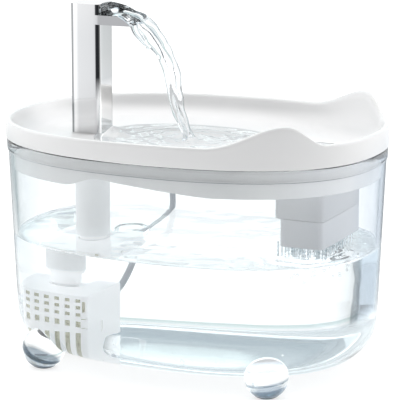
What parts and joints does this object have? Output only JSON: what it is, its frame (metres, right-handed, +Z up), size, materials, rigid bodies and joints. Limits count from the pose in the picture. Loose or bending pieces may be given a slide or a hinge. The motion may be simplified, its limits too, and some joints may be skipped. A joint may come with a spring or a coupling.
{
  "type": "pet water fountain",
  "caption": "Pet drinking fountain: clear water tank on ball feet, white tray with two raised ears on its rim, square bright faucet, submersible pump and drip filter.",
  "frame": {"origin": "on the floor under the middle of the tank's outline", "axes": "+X along the tank from the faucet to the ears, +Y to the back, +Z up"},
  "size_m": [0.2635, 0.1994, 0.1992],
  "materials": {
    "clear_plastic": "clear moulded plastic, polished",
    "white_plastic": "smooth white moulding",
    "inner_plastic": "white moulding, satin",
    "grate_plastic": "pale grey moulding",
    "faucet_chrome": "bright plated",
    "seal_rubber": "soft black rubber",
    "clear_rubber": "soft translucent rubber",
    "sponge": "open-cell foam, olive beige",
    "filter_pad": "felted filter pad",
    "core_iron": "stacked steel sheets",
    "winding": "enamelled copper wire",
    "rotor_black": "moulded magnet and blades",
    "bright_steel": "ground steel",
    "lead_jacket": "smooth pale grey jacket",
    "plug_plastic": "fine-textured moulding"
  },
  "bodies": {
    "tank": {"water_tank": "clear_plastic", "tank_feet": "clear_plastic", "pump_body": "inner_plastic", "pump_core": "core_iron", "pump_coil": "winding", "pump_back_cap": "inner_plastic", "volute_cover": "inner_plastic", "impeller_shaft": "bright_steel", "shaft_bushes": "seal_rubber", "suction_cups": "clear_rubber", "cord_gland": "lead_jacket", "power_cord": "lead_jacket", "power_cord_coil": "lead_jacket", "power_cord_tail": "lead_jacket", "cord_tie": "plug_plastic", "usb_plug_body": "plug_plastic", "usb_plug_shell": "bright_steel"},
    "tray": {"drink_tray": "white_plastic", "riser_tube": "inner_plastic", "riser_coupler": "inner_plastic", "filter_housing": "inner_plastic"},
    "faucet": {"faucet_shell": "faucet_chrome", "faucet_duct": "inner_plastic", "faucet_seal": "seal_rubber"},
    "grate": {"drain_grate": "grate_plastic"},
    "filter_basket": {"filter_basket": "inner_plastic", "filter_cartridge": "filter_pad"},
    "pump_cover": {"pump_cover": "white_plastic", "prefilter_sponge": "sponge"},
    "impeller": {"impeller": "rotor_black"}
  },
  "joints": [
    {"name": "tray_lift", "type": "slide", "parent": "tank", "child": "tray", "axis": [0, 0, 1], "range_m": [0, 0.14]},
    {"name": "faucet_lift", "type": "slide", "parent": "tray", "child": "faucet", "axis": [0, 0, 1], "range_m": [0, 0.04]},
    {"name": "grate_lift", "type": "slide", "parent": "tray", "child": "grate", "axis": [0, 0, 1], "range_m": [0, 0.02]},
    {"name": "basket_drop", "type": "slide", "parent": "tray", "child": "filter_basket", "axis": [0, 0, -1], "range_m": [0, 0.025]},
    {"name": "pump_cover_lift", "type": "slide", "parent": "tank", "child": "pump_cover", "axis": [0, 0, 1], "range_m": [0, 0.007]},
    {"name": "impeller_spin", "type": "hinge", "parent": "tank", "child": "impeller", "pos_m": [-0.065, 0, 0.0282], "axis": [0, 1, 0], "continuous": true}
  ]
}
